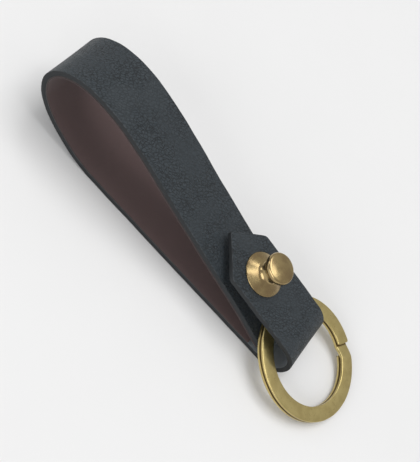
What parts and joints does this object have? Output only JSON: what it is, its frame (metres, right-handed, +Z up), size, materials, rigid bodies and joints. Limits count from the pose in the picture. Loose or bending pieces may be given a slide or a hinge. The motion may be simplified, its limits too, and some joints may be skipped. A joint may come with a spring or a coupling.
{
  "type": "wristlet keychain",
  "caption": "Folded leather wrist loop with a pointed flap closed by a brass ball stud, holding a flat-wire split ring in its fold.",
  "frame": {"origin": "on the table under the stud, in the middle of the strap's width", "axes": "+X along the strap towards the ring, +Y across the strap, +Z up"},
  "size_m": [0.1196, 0.035, 0.0258],
  "materials": {
    "black_leather": "fine pebbled grain, satin, burnished edges",
    "brown_leather": "smooth, matte",
    "stud_brass": "polished",
    "screw_brass": "satin",
    "ring_brass": "satin, slightly green"
  },
  "bodies": {
    "strap": {"outer_strap": "black_leather", "lining": "brown_leather"},
    "ring": {"split_ring": "ring_brass"},
    "stud_head": {"stud_head": "stud_brass"},
    "stud_screw": {"stud_screw": "screw_brass"}
  },
  "joints": [
    {"name": "ring_swing", "type": "hinge", "parent": "strap", "child": "ring", "pos_m": [0.011, 0, 0.01], "axis": [0, -1, 0], "range_deg": [0, 22]},
    {"name": "stud_turn", "type": "hinge", "parent": "strap", "child": "stud_head", "pos_m": [0, 0, 0.0148], "axis": [0.1547, 0, 0.988], "range_deg": [-5, 1805]},
    {"name": "screw_travel", "type": "slide", "parent": "strap", "child": "stud_screw", "axis": [-0.1547, 0, -0.988], "range_m": [0, 0.0025]}
  ],
  "couplings": [
    {"joint": "stud_turn", "follows": "screw_travel", "rad_per_m": 12566}
  ]
}
